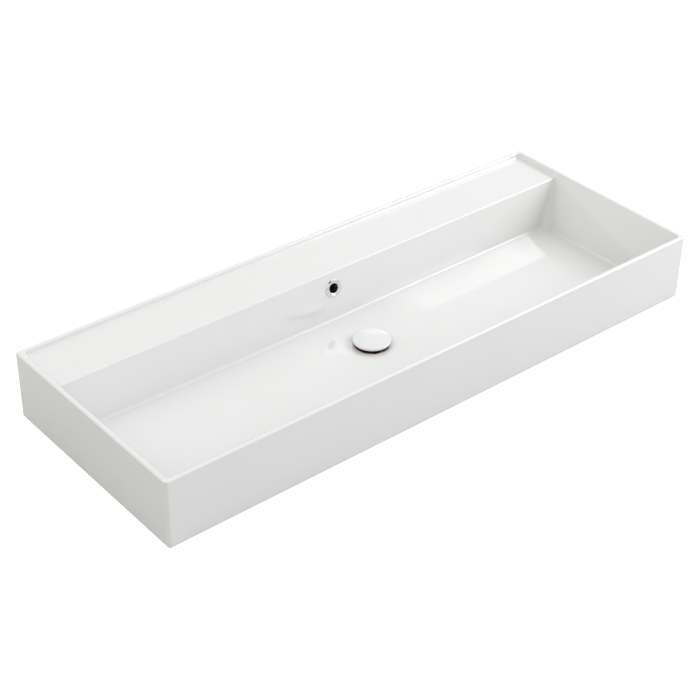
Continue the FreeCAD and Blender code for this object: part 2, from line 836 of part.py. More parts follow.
def make_waste_body():
    outer = S.flange_diameter / 2
    neck = S.neck_diameter / 2
    tail = S.tail_diameter / 2
    hole = S.tail_bore / 2
    neck_end = -S.flange_thickness - S.neck_length
    lip = S.flange_edge_bevel
    relief = tail - S.relief_depth
    relief_foot = -S.relief_drop - S.relief_width
    corners = [
        (hole, -S.tail_length),
        (tail - S.tail_chamfer, -S.tail_length),
        (tail, S.tail_chamfer - S.tail_length),
        (tail, relief_foot),
        (relief, relief_foot),
        (relief, -S.relief_drop),
        (tail, -S.relief_drop),
        (tail, neck_end - (neck - tail)),
        (neck, neck_end),
        (neck, -S.flange_thickness),
        (outer, -S.flange_thickness),
        (outer, -lip),
        (outer - lip, ZERO),
        (S.mouth_diameter / 2, ZERO),
        (hole, -S.mouth_depth),
    ]
    body = turn("waste_body", corners)
    half = S.window_width / 2
    high = -S.window_drop
    window = side_cut(
        body, "window", rectangle(-half, half, high - S.window_height, high), tail + S.slip
    )
    repeat(body, window, S.window_count)
    foot = -S.hub_drop - S.hub_height
    overlap = (tail - hole) / 2
    arm = pad(body, "arm", spoke(S.arm_width, ZERO, hole + overlap), foot, S.hub_height)
    repeat(body, arm, S.arm_count)
    sketch = attach(body, "hub_outline", "XY_Plane", foot)
    draw_circle(sketch, ZERO, ZERO, S.hub_diameter / 2)
    hub = body.newObject("PartDesign::Pad", "hub")
    hub.Profile = sketch
    bind(hub, "Length", S.hub_height)
    bore(body, "hub_bore", S.barrel_diameter / 2 + S.slip, -S.hub_drop, S.hub_height + S.slip)
    place(body, ZERO, waste_place, flange_top)
    return body


def make_flange_gasket():
    body = ring(
        "flange_gasket",
        S.neck_diameter / 2 + S.slip,
        S.flange_gasket_diameter / 2,
        ZERO,
        S.flange_gasket_thickness,
    )
    place(body, ZERO, waste_place, seat_level)


def make_lower_gasket():
    inner = S.tail_diameter / 2 + S.slip
    outer = S.lower_gasket_diameter / 2
    edge = S.lower_gasket_bevel
    low = -S.lower_gasket_thickness
    corners = [
        (inner, low),
        (outer - edge, low),
        (outer, low + edge),
        (outer, ZERO),
        (S.gasket_collar_diameter / 2, ZERO),
        (S.gasket_collar_top / 2, S.gasket_collar_height),
        (inner, S.gasket_collar_height),
    ]
    place(turn("lower_gasket", corners), ZERO, waste_place, ZERO)


def make_slip_washer():
    inner = S.tail_diameter / 2 + S.rest_gap
    body = ring(
        "slip_washer", inner, S.slip_washer_diameter / 2, -S.slip_washer_thickness, ZERO
    )
    place(body, ZERO, waste_place, -S.lower_gasket_thickness)


def make_backnut():
    inner = S.tail_diameter / 2 + S.slip
    collar = S.backnut_collar_thickness
    body = ring("backnut", inner, S.backnut_collar_diameter / 2, -collar, ZERO)
    overlap = collar / 2
    height = S.backnut_height - overlap
    pad(body, "backnut_hexagon", hexagon(S.backnut_flats), -S.backnut_height, height)
    bore(body, "backnut_bore", inner, S.slip, S.backnut_height + S.slip * 2)
    place(body, ZERO, waste_place, -S.lower_gasket_thickness - S.slip_washer_thickness)


# The plug is built where it stands open

cap_level = flange_top + S.closed_gap + S.plug_lift
carrier_level = cap_level + S.cap_recess_depth
boss_foot = carrier_level - S.carrier_thickness - S.carrier_hub_height - S.carrier_boss_height
shoulder_top = hub_level + S.shoulder_thickness
stem_top = shoulder_top + S.stem_reach
plunger_level = shoulder_top - S.barrel_ceiling - S.rest_gap
rotor_level = plunger_level - S.plunger_length - S.end_gap
spring_top = rotor_level - S.rotor_length + S.spring_seat_depth
spring_foot = barrel_end + S.end_cap_plug
guided_radius = S.barrel_diameter / 2 - S.barrel_wall - S.guide_depth - S.slip
wing_corner = S.barrel_diameter / 2 - S.barrel_wall - S.slip
wing_radius = root(wing_corner * wing_corner - S.wing_width * S.wing_width / 4)
stud_hole = S.spindle_diameter / 2 + S.slip


def round_in_flats(x, z, radius, start):
    """Corners of a quarter round about (x, z) made of flats; start is its first angle."""
    corners = []
    for step in range(EDGE_FLATS + 1):
        angle = math.radians(start + QUARTER_TURN * step / EDGE_FLATS)
        corners.append((x + radius * math.cos(angle), z + radius * math.sin(angle)))
    return corners


def make_plug_cap():
    """A turned blank under a shallow dome, which is a slice of a lying ball."""
    outer = S.cap_diameter / 2
    recess = S.cap_recess_diameter / 2
    lower = S.cap_lower_radius
    upper = S.cap_upper_radius
    under_edge = round_in_flats(outer - lower, lower, lower, -QUARTER_TURN)
    over_edge = round_in_flats(outer - upper, lower, upper, 0)
    shoulder_x, shoulder_z = over_edge[-2]
    rise = S.cap_height + S.overrun / 2 - shoulder_z
    inwards = (shoulder_x - over_edge[-1][0]) / (over_edge[-1][1] - shoulder_z)
    corners = [(recess, ZERO)]
    corners.extend(under_edge)
    corners.extend(over_edge[1:-1])
    corners.append((shoulder_x - rise * inwards, shoulder_z + rise))
    corners.append((ZERO, shoulder_z + rise))
    corners.append((ZERO, S.cap_recess_depth))
    corners.append((recess, S.cap_recess_depth))
    blank = turn("cap_blank", corners)
    ball = doc.addObject("Part::Sphere", "cap_ball")
    bind(ball, "Radius", S.cap_dome_radius)
    lying = FreeCAD.Rotation(FreeCAD.Vector(0, 1, 0), QUARTER_TURN)
    ball.Placement = FreeCAD.Placement(FreeCAD.Vector(), lying)
    bind(ball, ".Placement.Base.z", S.cap_height - S.cap_dome_radius)
    cap = combine("MultiCommon", "plug_cap", [blank, ball])
    place(cap, ZERO, waste_place, cap_level)


def make_cap_carrier():
    plate = -S.carrier_thickness
    hub_foot = plate - S.carrier_hub_height
    foot = hub_foot - S.carrier_boss_height
    hub = S.carrier_hub_diameter / 2
    boss = S.carrier_boss_diameter / 2
    groove = S.seal_inner_diameter / 2 - S.slip
    half = S.seal_section / 2 + S.slip
    seal = plate - S.seal_drop
    corners = [
        (stud_hole, foot),
        (boss, foot),
        (boss, hub_foot),
        (hub, hub_foot),
        (hub, seal - half),
        (groove, seal - half),
        (groove, seal + half),
        (hub, seal + half),
        (hub, plate),
        (S.carrier_diameter / 2, plate),
        (S.carrier_diameter / 2, ZERO),
        (ZERO, ZERO),
        (ZERO, foot + S.carrier_bore_depth),
        (stud_hole, foot + S.carrier_bore_depth),
    ]
    place(turn("cap_carrier", corners), ZERO, waste_place, carrier_level)


def make_cap_seal():
    """A rubber ring whose outside leans like the conical mouth that it closes."""
    inner = S.seal_inner_diameter / 2
    lip = S.seal_diameter / 2
    half = S.seal_section / 2
    lean = (S.mouth_diameter - S.tail_bore) / 2 / S.mouth_depth
    corners = [(inner, -half), (lip - S.seal_section * lean, -half), (lip, half), (inner, half)]
    level = carrier_level - S.carrier_thickness - S.seal_drop
    place(turn("cap_seal", corners), ZERO, waste_place, level)


def make_spindle():
    low = stem_top - S.stem_bore_depth + S.end_gap
    length = boss_foot + S.carrier_bore_depth - S.end_gap - low
    radius = S.spindle_diameter / 2
    cut = S.spindle_chamfer
    corners = [
        (ZERO, ZERO),
        (radius - cut, ZERO),
        (radius, cut),
        (radius, length - cut),
        (radius - cut, length),
        (ZERO, length),
    ]
    place(turn("spindle", corners), ZERO, waste_place, low)


def make_hexagon_nut(name, flats, height, hole, level):
    body = doc.addObject("PartDesign::Body", name)
    pad(body, f"{name}_hexagon", hexagon(flats), ZERO, height)
    bore(body, f"{name}_bore", hole, height + S.slip, height + S.slip * 2)
    place(body, ZERO, waste_place, level)


def add_wings(body, name, low, length):
    wing = pad(
        body, name, spoke(S.wing_width, guided_radius - S.end_gap, wing_radius), low, length
    )
    repeat(body, wing, S.guide_count)


def cut_teeth(body, name, mouth, bottom):
    """V notches across a round face; mouth is its height, bottom the notches' own."""
    half = S.notch_width / 2
    corners = [(-half, mouth), (half, mouth), (ZERO, bottom)]
    if bottom.value < mouth.value:
        corners = [(-half, mouth), (ZERO, bottom), (half, mouth)]
    notch = side_cut(body, name, corners, S.barrel_diameter / 2)
    repeat(body, notch, S.notch_count)


def make_plunger():
    stem = S.stem_diameter / 2
    top = stem_top - plunger_level
    low = -S.plunger_length
    hollow = low + S.stem_bore_depth / 2
    corners = [
        (S.stem_bore_depth / 2, low),
        (guided_radius, low),
        (guided_radius, ZERO),
        (stem, ZERO),
        (stem, top),
        (stud_hole, top),
        (stud_hole, top - S.stem_bore_depth),
        (ZERO, top - S.stem_bore_depth),
        (ZERO, hollow),
        (S.stem_bore_depth / 2, hollow),
    ]
    body = turn("cartridge_plunger", corners)
    add_wings(body, "plunger_wing", low + S.notch_depth, S.plunger_length - S.notch_depth)
    cut_teeth(body, "plunger_notch", low, low + S.notch_depth)
    place(body, ZERO, waste_place, plunger_level)


def make_rotor():
    hole = S.rotor_bore / 2
    seat = S.spring_diameter / 2 + S.end_gap
    low = -S.rotor_length
    corners = [
        (seat, low),
        (guided_radius, low),
        (guided_radius, ZERO),
        (hole, ZERO),
        (hole, low + S.spring_seat_depth),
        (seat, low + S.spring_seat_depth),
    ]
    body = turn("cartridge_rotor", corners)
    add_wings(body, "rotor_wing", low, S.rotor_length - S.notch_depth)
    cut_teeth(body, "rotor_notch", ZERO, -S.notch_depth)
    place(body, ZERO, waste_place, rotor_level)


def make_spring():
    body = doc.addObject("PartDesign::Body", "cartridge_spring")
    wire = S.spring_wire / 2
    height = spring_top - spring_foot - S.spring_wire
    sketch = attach(body, "wire_section", "XZ_Plane")
    across = S.spring_diameter / 2 - wire
    section = [(across + y, wire + x) for x, y in hexagon(S.spring_wire)]
    draw_outline(sketch, section)
    coil = body.newObject("PartDesign::AdditiveHelix", "coil")
    coil.Profile = sketch
    coil.ReferenceAxis = (sketch, ["V_Axis"])
    coil.Mode = 1
    coil.Pitch = (height / S.spring_turns).value
    coil.Height = height.value
    coil.Turns = S.spring_turns.value
    bind(coil, "Turns", S.spring_turns)
    bind(coil, "Pitch", height / S.spring_turns)
    place(body, ZERO, waste_place, spring_foot)


def make_housing():
    outer = S.barrel_diameter / 2
    inner = outer - S.barrel_wall
    shoulder = S.shoulder_diameter / 2
    ceiling = S.shoulder_thickness - S.barrel_ceiling
    hole = S.stem_diameter / 2 + S.slip
    corners = [
        (inner, -S.barrel_length),
        (outer, -S.barrel_length),
        (outer, ZERO),
        (shoulder, ZERO),
        (shoulder, S.shoulder_thickness),
        (hole, S.shoulder_thickness),
        (hole, ceiling),
        (inner, ceiling),
    ]
    body = turn("cartridge_housing", corners)
    outline = spoke(S.guide_width, inner - S.guide_depth, inner + S.barrel_wall / 2)
    rib = pad(body, "guide", outline, ceiling - S.guide_length, S.guide_length)
    repeat(body, rib, S.guide_count)
    quarter = FreeCAD.Rotation(FreeCAD.Vector(0, 0, 1), QUARTER_TURN / 2)
    place(body, ZERO, waste_place, hub_level, quarter)


def make_end_cap():
    hole = S.end_cap_hole / 2
    inner = S.barrel_diameter / 2 - S.barrel_wall - S.slip
    corners = [
        (hole, -S.end_cap_lip),
        (S.barrel_diameter / 2, -S.end_cap_lip),
        (S.barrel_diameter / 2, ZERO),
        (inner, ZERO),
        (inner, S.end_cap_plug),
        (hole, S.end_cap_plug),
    ]
    place(turn("cartridge_end_cap", corners), ZERO, waste_place, barrel_end)


make_basin()
make_overflow_ring()
make_waste_body()
make_flange_gasket()
make_lower_gasket()
make_slip_washer()
make_backnut()
make_plug_cap()
make_cap_carrier()
make_cap_seal()
make_spindle()
make_hexagon_nut("lock_nut", S.lock_nut_flats, S.lock_nut_height, stud_hole, stem_top)
make_plunger()
make_rotor()
make_spring()
make_housing()
make_end_cap()
nut_level = hub_level - S.hub_height - S.barrel_nut_height
nut_hole = S.barrel_diameter / 2 + S.slip
make_hexagon_nut(
    "cartridge_nut", S.barrel_nut_flats, S.barrel_nut_height, nut_hole, nut_level
)

PIECES = (
    "basin",
    "overflow_ring",
    "waste_body",
    "flange_gasket",
    "lower_gasket",
    "slip_washer",
    "backnut",
    "plug_cap",
    "cap_carrier",
    "cap_seal",
    "spindle",
    "lock_nut",
    "cartridge_plunger",
    "cartridge_rotor",
    "cartridge_spring",
    "cartridge_housing",
    "cartridge_end_cap",
    "cartridge_nut",
)

doc.recompute()
for thing in doc.Objects:
    if "Invalid" in thing.State or "Error" in thing.State:
        raise RuntimeError(f"{thing.Name}: {thing.State}")

os.makedirs("parts", exist_ok=True)
for name in PIECES:
    piece = doc.getObject(name)
    piece.Label = name
    shape = piece.Shape
    if shape.isNull() or not shape.isValid() or len(shape.Solids) != 1:
        raise RuntimeError(f"{name} is not one sound solid")
    shape.exportStep(f"parts/{name}.step")
    box = shape.BoundBox
    print(f"{name}: {shape.Volume:.0f} mm3, z {box.ZMin:.2f} to {box.ZMax:.2f}")
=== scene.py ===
import json
import math

import bmesh
import bpy
from mathutils import Matrix, Vector


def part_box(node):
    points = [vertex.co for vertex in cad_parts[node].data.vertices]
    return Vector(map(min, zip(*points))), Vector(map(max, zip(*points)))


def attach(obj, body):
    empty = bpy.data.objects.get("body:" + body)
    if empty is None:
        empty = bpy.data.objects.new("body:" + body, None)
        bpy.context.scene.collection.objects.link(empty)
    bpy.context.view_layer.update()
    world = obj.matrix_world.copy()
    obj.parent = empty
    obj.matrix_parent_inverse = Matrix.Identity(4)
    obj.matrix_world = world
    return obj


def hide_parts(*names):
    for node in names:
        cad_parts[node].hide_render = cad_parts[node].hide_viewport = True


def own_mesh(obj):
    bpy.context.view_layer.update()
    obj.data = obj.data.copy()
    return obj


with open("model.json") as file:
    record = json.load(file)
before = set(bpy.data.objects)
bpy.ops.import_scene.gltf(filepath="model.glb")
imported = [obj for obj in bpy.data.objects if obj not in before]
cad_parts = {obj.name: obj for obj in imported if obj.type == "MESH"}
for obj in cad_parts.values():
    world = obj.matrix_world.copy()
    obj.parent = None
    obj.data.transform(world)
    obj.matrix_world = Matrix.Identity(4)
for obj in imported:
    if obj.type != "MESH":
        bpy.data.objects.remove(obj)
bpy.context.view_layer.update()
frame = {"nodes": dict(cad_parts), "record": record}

# Lengths are in metres throughout, and scales of patterns are per metre.

BASE_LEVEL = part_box("basin")[0][2]
WASTE = Vector((0.0, -0.2375, 0.0))
SURFACE_ROOM = 0.0003
AXIS_ROOM = SURFACE_ROOM / 100

# Camera, fitted to the straight edges of the photograph

IMAGE_SIDE = 700
AZIMUTH = math.radians(-39.89)
ELEVATION = math.radians(34.36)
ROLL = math.radians(0.76)
DISTANCE = 3.078
SLIDE = (-0.0336, 0.0044)
FOCAL_PIXELS = 1657.9
SENSOR = 36.0
FAR_CLIP = 50
AIM = Vector((0.0, -0.2275, BASE_LEVEL))

# Walls and passage of the basin, which bound its unglazed parts

SKIRT_WALL = 0.010
FRONT_WALL = 0.022
PASSAGE_HALF_WIDTH = 0.0305
PASSAGE_TOP = 0.0215
PASSAGE_START = 0.004
BACK_WALL_AT_OVERFLOW = 0.1190

# Upward part of a normal under which a surface counts as a basin's underside, a cap's
# underside, or upright

BASIN_UNDERSIDE = -0.85
CAP_UNDERSIDE = -0.9
UPRIGHT = 0.02

# Painted shade on the flange of the waste, in the gap under the cap

GAP_SHADE_START = 0.024
GAP_SHADE_FULL = 0.030
FLANGE_TOP_DEPTH = 0.003
GAP_SHADE_ROUGHNESS = 0.22

# Cap; the angles of its edges are in degrees from straight out

CAP_LOWER_RADIUS = 0.0025
CAP_UPPER_RADIUS = 0.0026
CAP_DOME_RADIUS = 0.225
CAP_RECESS_RADIUS = 0.027
CAP_RECESS_DEPTH = 0.002
UPPER_EDGE_ANGLES = (74, 0)
LOWER_EDGE_ANGLES = (-9, -90)
EDGE_STEPS = 9
DOME_RINGS = 18
CAP_STEPS = 160

# Threads

TAIL_RADIUS = 0.02095
TAIL_LEAD = 0.001
RELIEF_DROP = 0.003
G_PITCH = 0.00231
TRAP_THREAD_DEPTH = 0.0003
NUT_THREAD_ROOM = 0.0001
BARREL_RADIUS = 0.008
BARREL_PITCH = 0.0015
BARREL_DEPTH = 0.0002
STUD_RADIUS = 0.0025
STUD_PITCH = 0.0008
STUD_DEPTH = 0.00008
THREAD_STEPS = 48
RIDGE_HALF_SHARE = 0.42
ROOT_SHARE = 10

# Spring

WIRE_RADIUS = 0.0004
COIL_RADIUS = 0.0036
COIL_TURNS = 5
COIL_STEPS = 32
WIRE_SIDES = 10

# Edges

SHARP_ANGLE = math.radians(32)
SOFT_NODES = ("overflow_ring", "cap_carrier", "backnut", "cartridge_nut")
SOFT_WIDTH = 0.0002
SOFT_SEGMENTS = 3
SOFT_ANGLE = math.radians(25)

# Floor

FLOOR_STEPS = 64
FLOOR_REACH = 6.0
FLOOR_HOLE = 0.045
FLOOR_GAP = 0.0004
FLOOR_GLOW = 0.85

# Soft light: its level all round, what each side adds to it, and its tint from the right to the left

WORLD_LEVEL = 0.322
WORLD_GAINS = (("Z", 0.485), ("X", 0.46), ("X", -0.335), ("Y", -0.31))
WORLD_TINT = ((0.0, (0.990, 0.997, 1.0)), (1.0, (1.0, 0.985, 0.925)))

# A dark flag over the basin. Only reflections show it, and it gives the chrome its black patches.

FLAG_WAY = (-0.12, -0.36, 0.925)
FLAG_EDGE = (0.948, 0.966)
FLAG_SHARE = 0.95

# Lamps: name, place, target, side, power and colour

NEUTRAL = (1, 1, 1)
WARM = (1.0, 0.975, 0.93)
LAMPS = (
    ("right_front", (2.35, -2.0, 1.3), (0.3, -0.3, 0), 1.9, 25.3, NEUTRAL),
    ("right_high", (2.6, -1.4, 1.9), (0.1, -0.3, 0), 1.7, 25.6, NEUTRAL),
    ("left_back", (-2.4, 1.6, 1.3), (0, -0.2, 0), 1.8, 6.0, WARM),
    ("left_high", (-1.8, 0.9, 2.2), (0, -0.2, 0), 1.6, 8.5, WARM),
)


def make_camera():
    back = Vector(
        (
            math.sin(AZIMUTH) * math.cos(ELEVATION),
            -math.cos(AZIMUTH) * math.cos(ELEVATION),
            math.sin(ELEVATION),
        )
    )
    right = Vector((0, 0, 1)).cross(back).normalized()
    up = back.cross(right)
    turned_right = right * math.cos(ROLL) + up * math.sin(ROLL)
    turned_up = up * math.cos(ROLL) - right * math.sin(ROLL)
    place = AIM + turned_right * SLIDE[0] + turned_up * SLIDE[1] + back * DISTANCE
    data = bpy.data.cameras.new("camera")
    data.sensor_width = SENSOR
    data.lens = FOCAL_PIXELS / IMAGE_SIDE * SENSOR
    data.clip_end = FAR_CLIP
    camera = bpy.data.objects.new("camera", data)
    bpy.context.collection.objects.link(camera)
    columns = Matrix((turned_right, turned_up, back)).transposed()
    camera.matrix_world = Matrix.Translation(place) @ columns.to_4x4()
    bpy.context.scene.camera = camera


# Node helpers


class Nodes:
    """Adds and joins the nodes of one tree."""

    def __init__(self, tree):
        self.tree = tree
        tree.nodes.clear()

    def add(self, kind, inputs=None, **settings):
        node = self.tree.nodes.new(kind)
        for name, value in settings.items():
            setattr(node, name, value)
        for name, value in (inputs or {}).items():
            self.feed(node.inputs[name], value)
        return node

    def feed(self, socket, value):
        """Joins another node's output to the socket, or sets the socket to a plain value."""
        if hasattr(value, "is_output"):
            self.tree.links.new(value, socket)
        else:
            socket.default_value = value

    def math(self, operation, first, second=None):
        node = self.add("ShaderNodeMath", operation=operation)
        self.feed(node.inputs[0], first)
        if second is not None:
            self.feed(node.inputs[1], second)
        return node.outputs[0]

    def noise(self, scale, detail, place):
        inputs = {"Scale": scale, "Detail": detail, "Vector": place}
        return self.add("ShaderNodeTexNoise", inputs).outputs["Fac"]

    def ramp(self, factor, stops):
        node = self.add("ShaderNodeValToRGB", {"Fac": factor})
        for element, (place, colour) in zip(node.color_ramp.elements, stops):
            element.position = place
            element.color = (*colour, 1.0)
        return node.outputs["Color"]

    def two_tones(self, factor, dark, light):
        """A noise from one tone to another, with both held at its ends."""
        return self.ramp(factor, ((0.3, dark), (0.7, light)))

    def spread(self, factor, low, high):
        inputs = {"Value": factor, "To Min": low, "To Max": high}
        return self.add("ShaderNodeMapRange", inputs).outputs["Result"]

    def rise(self, value, start, full):
        """0 below the start, 1 beyond the full value and a straight line between them."""
        inputs = {"Value": value, "From Min": start, "From Max": full}
        return self.add("ShaderNodeMapRange", inputs).outputs["Result"]

    def bump(self, height, strength, distance):
        inputs = {"Height": height, "Strength": strength, "Distance": distance}
        return self.add("ShaderNodeBump", inputs).outputs[0]

    def place(self):
        return self.add("ShaderNodeTexCoord").outputs["Object"]

    def upward(self):
        """The upward part of the surface's true normal."""
        normal = self.add("ShaderNodeNewGeometry").outputs["True Normal"]
        return self.apart(normal)["Z"]

    def apart(self, vector):
        return self.add("ShaderNodeSeparateXYZ", {"Vector": vector}).outputs

    def blend(self, factor, first, second):
        """The first colour, or the second one where the factor is 1."""
        node = self.add("ShaderNodeMix", {"Factor": factor}, data_type="RGBA")
        for name, colour in (("A_Color", first), ("B_Color", second)):
            socket = next(item for item in node.inputs if item.identifier == name)
            self.tree.links.new(colour, socket)
        return next(item for item in node.outputs if item.identifier == "Result_Color")

    def mix_shaders(self, factor, first, second):
        """The first shader, or the second one where the factor is 1."""
        mix = self.add("ShaderNodeMixShader", {"Fac": factor})
        self.tree.links.new(first, mix.inputs[1])
        self.tree.links.new(second, mix.inputs[2])
        return mix.outputs[0]

    def principled(self, inputs):
        return self.add("ShaderNodeBsdfPrincipled", inputs).outputs[0]

    def show(self, shader, kind="ShaderNodeOutputMaterial"):
        output = self.add(kind)
        self.tree.links.new(shader, output.inputs["Surface"])

    def under(self, value, limit):
        return self.math("LESS_THAN", value, limit)

    def all_of(self, first, *others):
        for other in others:
            first = self.math("MULTIPLY", first, other)
        return first


def new_material(name):
    material = bpy.data.materials.new(name)
    material.use_nodes = True
    return material, Nodes(material.node_tree)


# Materials


def biscuit(nodes, painted_shade):
    """Fired clay without its glaze: tan, matt and grainy, and painted near black as shade where the
    second argument is 1.
    """
    place = nodes.place()
    grain = nodes.noise(900.0, 4.0, place)
    cloud = nodes.noise(30.0, 4.0, place)
    tone = nodes.two_tones(cloud, (0.34, 0.24, 0.17), (0.42, 0.31, 0.23))
    if painted_shade is not None:
        # Painted shade: near black clay that stands in for the shade deep in the overflow passage.
        shade_painted_clay = nodes.two_tones(cloud, (0.050, 0.034, 0.026), (0.085, 0.058, 0.044))
        tone = nodes.blend(painted_shade, tone, shade_painted_clay)
    return nodes.principled(
        {
            "Base Color": tone,
            "Roughness": nodes.spread(grain, 0.7, 0.95),
            "Normal": nodes.bump(grain, 0.3, 0.0003),
        }
    )


def bare_under_basin(nodes):
    """1 on the underside and inside the outer walls, then 1 in the overflow passage, where painted
    shade goes.
    """
    low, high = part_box("basin")
    place = nodes.apart(nodes.place())
    up = nodes.upward()
    across = nodes.math("ABSOLUTE", place["X"])
    from_wall = nodes.math("MULTIPLY", place["Y"], -1.0)
    facing_down = nodes.under(up, BASIN_UNDERSIDE)
    inside_walls = nodes.all_of(
        nodes.under(up, UPRIGHT),
        nodes.under(across, high[0] - SKIRT_WALL + SURFACE_ROOM),
        nodes.under(from_wall, -low[1] - FRONT_WALL + SURFACE_ROOM),
        nodes.under(SKIRT_WALL - SURFACE_ROOM, from_wall),
    )
    in_passage = nodes.all_of(
        nodes.under(across, PASSAGE_HALF_WIDTH),
        nodes.under(place["Z"], PASSAGE_TOP),
        nodes.under(from_wall, BACK_WALL_AT_OVERFLOW - PASSAGE_START),
        nodes.under(SKIRT_WALL + SURFACE_ROOM, from_wall),
    )
    bare = nodes.math("MAXIMUM", nodes.math("MAXIMUM", facing_down, inside_walls), in_passage)
    return bare, in_passage


def bare_under_cap(nodes):
    """1 on the underside of the cap, which is glued to its carrier, and no painted shade."""
    return nodes.under(nodes.upward(), CAP_UNDERSIDE), None


def glaze(name, base, roughness, find_bare):
    """Glazed fine fireclay: faint cloudiness in the white, a slow ripple in a clear hard skin."""
    material, nodes = new_material(name)
    place = nodes.place()
    darker = tuple(channel * 0.992 for channel in base)
    lighter = tuple(min(channel * 1.006, 1.0) for channel in base)
    colour = nodes.two_tones(nodes.noise(7.0, 4.0, place), darker, lighter)
    haze = nodes.spread(nodes.noise(90.0, 3.0, place), roughness * 0.85, roughness * 1.2)
    skin = nodes.principled(
        {
            "Base Color": colour,
            "Roughness": haze,
            "IOR": 1.52,
            "Normal": nodes.bump(nodes.noise(38.0, 2.0, place), 0.03, 0.0006),
            "Coat Weight": 0.8,
            "Coat Roughness": 0.02,
            "Coat IOR": 1.5,
        }
    )
    bare, painted_shade = find_bare(nodes)
    nodes.show(nodes.mix_shaders(bare, skin, biscuit(nodes, painted_shade)))
    return material


def under_the_cap(nodes, place):
    """Rises from 0 to 1 from the waste's mouth to the edge of its flange, on top of the flange, where
    shade is painted.
    """
    parts = nodes.apart(place)
    along = nodes.math("POWER", nodes.math("SUBTRACT", parts["Y"], WASTE.y), 2.0)
    across = nodes.math("POWER", parts["X"], 2.0)
    radius = nodes.math("SQRT", nodes.math("ADD", along, across))
    towards_edge = nodes.rise(radius, GAP_SHADE_START, GAP_SHADE_FULL)
    above = nodes.under(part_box("waste_body")[1][2] - FLANGE_TOP_DEPTH, parts["Z"])
    return nodes.all_of(towards_edge, above)


def chrome(name, shade_mask=None):
    """Bright plating; where the mask is 1, a dark brown film is painted on it as the shade in the gap
    under the cap.
    """
    material, nodes = new_material(name)
    place = nodes.place()
    colour = nodes.two_tones(nodes.noise(60.0, 2.0, place), (0.80, 0.81, 0.83), (0.86, 0.87, 0.88))
    roughness = nodes.spread(nodes.noise(220.0, 4.0, place), 0.03, 0.08)
    if shade_mask is not None:
        # Painted shade: a near-black to brown film that stands in for the shade under the cap.
        shade_patches = nodes.noise(55.0, 3.0, place)
        gap_shade_tone = nodes.ramp(shade_patches, ((0.45, (0.035, 0.022, 0.016)), (0.62, (0.36, 0.17, 0.08))))
        factor = shade_mask(nodes, place)
        colour = nodes.blend(factor, colour, gap_shade_tone)
        roughness = nodes.math("ADD", roughness, nodes.math("MULTIPLY", factor, GAP_SHADE_ROUGHNESS))
    nodes.show(nodes.principled({"Base Color": colour, "Metallic": 1.0, "Roughness": roughness}))
    return material


def metal(name, dark, light, smooth, rough):
    """Bare metal with a fine grain in its colour, its shine and its relief."""
    material, nodes = new_material(name)
    grain = nodes.noise(400.0, 5.0, nodes.place())
    surface = {
        "Base Color": nodes.two_tones(grain, dark, light),
        "Metallic": 1.0,
        "Roughness": nodes.spread(grain, smooth, rough),
        "Normal": nodes.bump(grain, 0.15, 0.0002),
    }
    nodes.show(nodes.principled(surface))
    return material


def moulded(name, dark, light, smooth, rough):
    """Plastic or rubber: a slow change of tone and a fine moulded grain."""
    material, nodes = new_material(name)
    place = nodes.place()
    grain = nodes.noise(700.0, 4.0, place)
    surface = {
        "Base Color": nodes.two_tones(nodes.noise(25.0, 2.0, place), dark, light),
        "Roughness": nodes.spread(grain, smooth, rough),
        "IOR": 1.5,
        "Normal": nodes.bump(grain, 0.12, 0.0002),
    }
    nodes.show(nodes.principled(surface))
    return material


def make_materials():
    """One material for each slot of the record, in the slot's name."""
    white = (0.762, 0.763, 0.763)
    bluish = (0.744, 0.754, 0.771)
    rubber = ((0.018, 0.018, 0.019), (0.034, 0.034, 0.035), 0.55, 0.8)
    metals = {
        "nut_brass": ((0.60, 0.43, 0.18), (0.72, 0.54, 0.25), 0.22, 0.38),
        "stud_steel": ((0.50, 0.50, 0.51), (0.62, 0.62, 0.63), 0.25, 0.4),
        "spring_steel": ((0.42, 0.42, 0.43), (0.52, 0.52, 0.53), 0.25, 0.4),
    }
    mouldings = {
        "gasket_rubber": rubber,
        "seal_rubber": rubber,
        "washer_plastic": ((0.74, 0.73, 0.69), (0.80, 0.79, 0.75), 0.35, 0.5),
        "carrier_plastic": ((0.050, 0.036, 0.028), (0.075, 0.056, 0.044), 0.35, 0.5),
        "plunger_plastic": ((0.72, 0.71, 0.67), (0.80, 0.79, 0.74), 0.3, 0.45),
        "housing_plastic": ((0.075, 0.078, 0.082), (0.105, 0.108, 0.112), 0.32, 0.5),
    }
    made = {
        "basin_glaze": glaze("basin_glaze", white, 0.09, bare_under_basin),
        "cap_glaze": glaze("cap_glaze", bluish, 0.07, bare_under_cap),
        "ring_chrome": chrome("ring_chrome"),
        "waste_chrome": chrome("waste_chrome", under_the_cap),
    }
    made.update({name: metal(name, *values) for name, values in metals.items()})
    made.update({name: moulded(name, *values) for name, values in mouldings.items()})
    return made


# Mesh helpers


def levels(node):
    """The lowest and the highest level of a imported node."""
    low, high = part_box(node)
    return low[2], high[2]


def outwards(index, steps):
    """Unit vector straight out from an upright axis, index steps round it."""
    angle = index * math.tau / steps
    return Vector((math.cos(angle), math.sin(angle), 0))


def join_rings(built, ring, other):
    """Faces between two rings of as many corners; a ring may be one corner many times."""
    for step in range(len(ring)):
        follower = (step + 1) % len(ring)
        corners = [ring[step], ring[follower], other[follower], other[step]]
        corners = [corner for at, corner in enumerate(corners) if corner not in corners[:at]]
        if len(corners) > 2:
            built.faces.new(corners)


def join_in_line(built, rings):
    """A closed skin over a row of rings, with a face at each end."""
    for ring, other in zip(rings, rings[1:]):
        join_rings(built, ring, other)
    built.faces.new(rings[0][::-1])
    built.faces.new(rings[-1])


